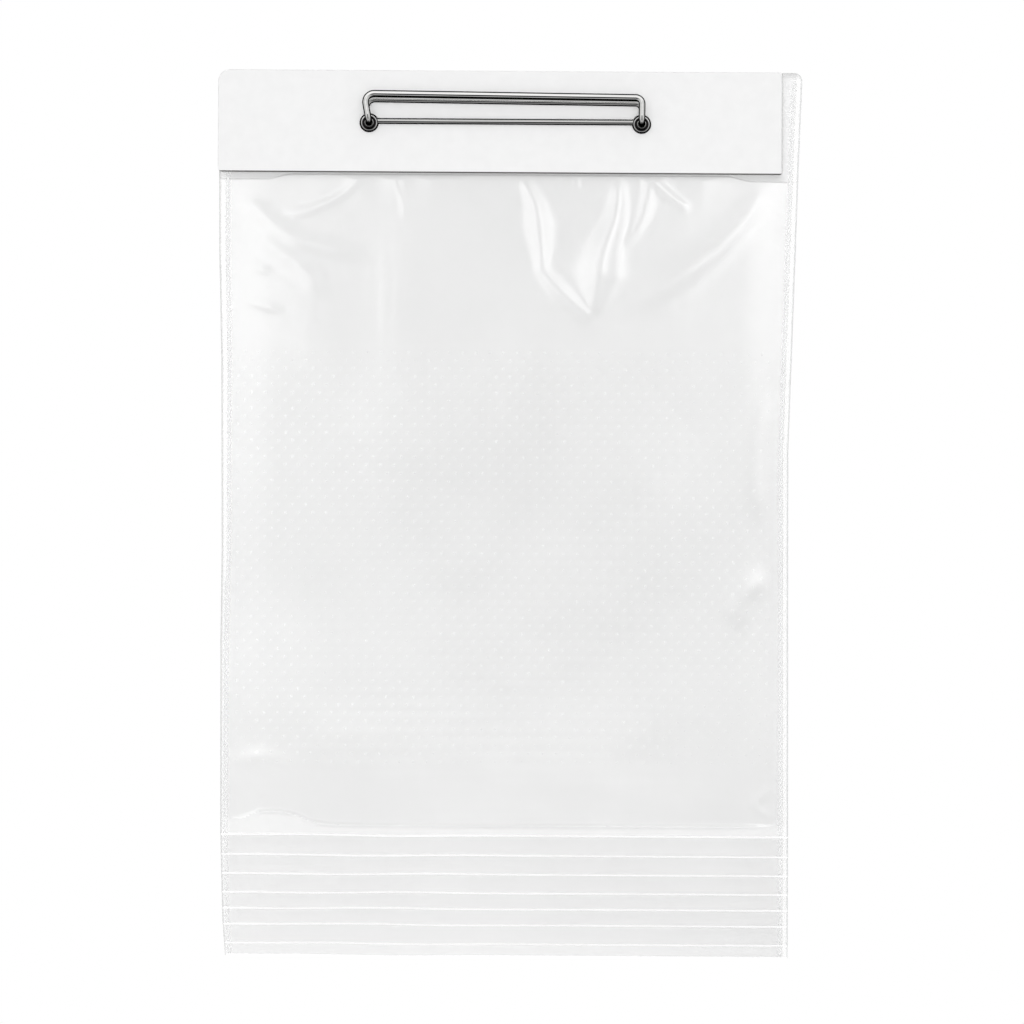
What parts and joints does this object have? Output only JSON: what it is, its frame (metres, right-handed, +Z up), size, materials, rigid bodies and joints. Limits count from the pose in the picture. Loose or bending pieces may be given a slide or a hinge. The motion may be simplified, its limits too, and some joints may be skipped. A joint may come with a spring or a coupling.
{
  "type": "wicketed plastic bag pack",
  "caption": "Pack of clear side-welded film bags hanging on a bent-wire wicket behind a white header card, with a wire keeper and rubber stoppers.",
  "frame": {"origin": "midway between the two wicket legs, in the plane where the legs enter the stand that carries the pack", "axes": "+X to the right seen from the front, +Y along the legs, from the header card to their free ends, +Z up"},
  "size_m": [0.2727, 0.0693, 0.414],
  "materials": {
    "bright_wire": "bright drawn steel wire",
    "dark_nickel": "dark polished nickel",
    "white_card": "smooth coated white card",
    "chipboard": "uncoated grey-brown chipboard",
    "stopper_rubber": "matt black rubber",
    "clear_film": "clear polypropylene film with a fine raised dot pattern"
  },
  "bodies": {
    "wicket": {"wicket_wire": "bright_wire", "keeper_frame": "bright_wire", "front_washer_left": "dark_nickel", "front_washer_right": "dark_nickel", "header_card": "white_card"},
    "retainer": {"back_card": "chipboard", "rear_stopper_left": "stopper_rubber", "rear_stopper_right": "stopper_rubber"},
    "lip_1": {"bag_1_lip": "clear_film"},
    "pouch_1": {"bag_1_pouch": "clear_film"},
    "lip_2": {"bag_2_lip": "clear_film"},
    "pouch_2": {"bag_2_pouch": "clear_film"},
    "lip_3": {"bag_3_lip": "clear_film"},
    "pouch_3": {"bag_3_pouch": "clear_film"},
    "lip_4": {"bag_4_lip": "clear_film"},
    "pouch_4": {"bag_4_pouch": "clear_film"},
    "lip_5": {"bag_5_lip": "clear_film"},
    "pouch_5": {"bag_5_pouch": "clear_film"},
    "lip_6": {"bag_6_lip": "clear_film"},
    "pouch_6": {"bag_6_pouch": "clear_film"},
    "lip_7": {"bag_7_lip": "clear_film"},
    "pouch_7": {"bag_7_pouch": "clear_film"},
    "lip_8": {"bag_8_lip": "clear_film"},
    "pouch_8": {"bag_8_pouch": "clear_film"},
    "mouth_panel": {"bag_1_mouth_panel": "clear_film"}
  },
  "joints": [
    {"name": "retainer_slide", "type": "slide", "parent": "wicket", "child": "retainer", "axis": [0, 1, 0], "range_m": [0, 0.018]},
    {"name": "bag_1_slide", "type": "slide", "parent": "wicket", "child": "lip_1", "axis": [0, 1, 0], "range_m": [0, 0.002]},
    {"name": "bag_1_swing", "type": "hinge", "parent": "lip_1", "child": "pouch_1", "pos_m": [0, -0.0357, -0.0243], "axis": [-1, 0, 0], "range_deg": [0, 50]},
    {"name": "bag_2_slide", "type": "slide", "parent": "wicket", "child": "lip_2", "axis": [0, 1, 0], "range_m": [0, 0.004]},
    {"name": "bag_2_swing", "type": "hinge", "parent": "lip_2", "child": "pouch_2", "pos_m": [0, -0.0343, -0.0243], "axis": [-1, 0, 0], "range_deg": [0, 43.75]},
    {"name": "bag_3_slide", "type": "slide", "parent": "wicket", "child": "lip_3", "axis": [0, 1, 0], "range_m": [0, 0.006]},
    {"name": "bag_3_swing", "type": "hinge", "parent": "lip_3", "child": "pouch_3", "pos_m": [0, -0.0329, -0.0243], "axis": [-1, 0, 0], "range_deg": [0, 37.5]},
    {"name": "bag_4_slide", "type": "slide", "parent": "wicket", "child": "lip_4", "axis": [0, 1, 0], "range_m": [0, 0.008]},
    {"name": "bag_4_swing", "type": "hinge", "parent": "lip_4", "child": "pouch_4", "pos_m": [0, -0.0315, -0.0243], "axis": [-1, 0, 0], "range_deg": [0, 31.25]},
    {"name": "bag_5_slide", "type": "slide", "parent": "wicket", "child": "lip_5", "axis": [0, 1, 0], "range_m": [0, 0.01]},
    {"name": "bag_5_swing", "type": "hinge", "parent": "lip_5", "child": "pouch_5", "pos_m": [0, -0.0301, -0.0243], "axis": [-1, 0, 0], "range_deg": [0, 25]},
    {"name": "bag_6_slide", "type": "slide", "parent": "wicket", "child": "lip_6", "axis": [0, 1, 0], "range_m": [0, 0.012]},
    {"name": "bag_6_swing", "type": "hinge", "parent": "lip_6", "child": "pouch_6", "pos_m": [0, -0.0287, -0.0243], "axis": [-1, 0, 0], "range_deg": [0, 18.75]},
    {"name": "bag_7_slide", "type": "slide", "parent": "wicket", "child": "lip_7", "axis": [0, 1, 0], "range_m": [0, 0.014]},
    {"name": "bag_7_swing", "type": "hinge", "parent": "lip_7", "child": "pouch_7", "pos_m": [0, -0.0273, -0.0243], "axis": [-1, 0, 0], "range_deg": [0, 12.5]},
    {"name": "bag_8_slide", "type": "slide", "parent": "wicket", "child": "lip_8", "axis": [0, 1, 0], "range_m": [0, 0.016]},
    {"name": "bag_8_swing", "type": "hinge", "parent": "lip_8", "child": "pouch_8", "pos_m": [0, -0.0259, -0.0243], "axis": [-1, 0, 0], "range_deg": [0, 6.25]},
    {"name": "mouth_open", "type": "hinge", "parent": "pouch_1", "child": "mouth_panel", "pos_m": [0, -0.03598, -0.3311], "axis": [1, 0, 0], "range_deg": [0, 12], "stiffness_Nm_per_rad": 0.08}
  ],
  "couplings": [
    {"joint": "bag_1_slide", "follows": "retainer_slide", "ratio": 0.11111},
    {"joint": "bag_2_slide", "follows": "retainer_slide", "ratio": 0.22222},
    {"joint": "bag_2_swing", "follows": "bag_1_swing", "ratio": 0.875},
    {"joint": "bag_3_slide", "follows": "retainer_slide", "ratio": 0.33333},
    {"joint": "bag_3_swing", "follows": "bag_1_swing", "ratio": 0.75},
    {"joint": "bag_4_slide", "follows": "retainer_slide", "ratio": 0.44444},
    {"joint": "bag_4_swing", "follows": "bag_1_swing", "ratio": 0.625},
    {"joint": "bag_5_slide", "follows": "retainer_slide", "ratio": 0.55556},
    {"joint": "bag_5_swing", "follows": "bag_1_swing", "ratio": 0.5},
    {"joint": "bag_6_slide", "follows": "retainer_slide", "ratio": 0.66667},
    {"joint": "bag_6_swing", "follows": "bag_1_swing", "ratio": 0.375},
    {"joint": "bag_7_slide", "follows": "retainer_slide", "ratio": 0.77778},
    {"joint": "bag_7_swing", "follows": "bag_1_swing", "ratio": 0.25},
    {"joint": "bag_8_slide", "follows": "retainer_slide", "ratio": 0.88889},
    {"joint": "bag_8_swing", "follows": "bag_1_swing", "ratio": 0.125}
  ]
}
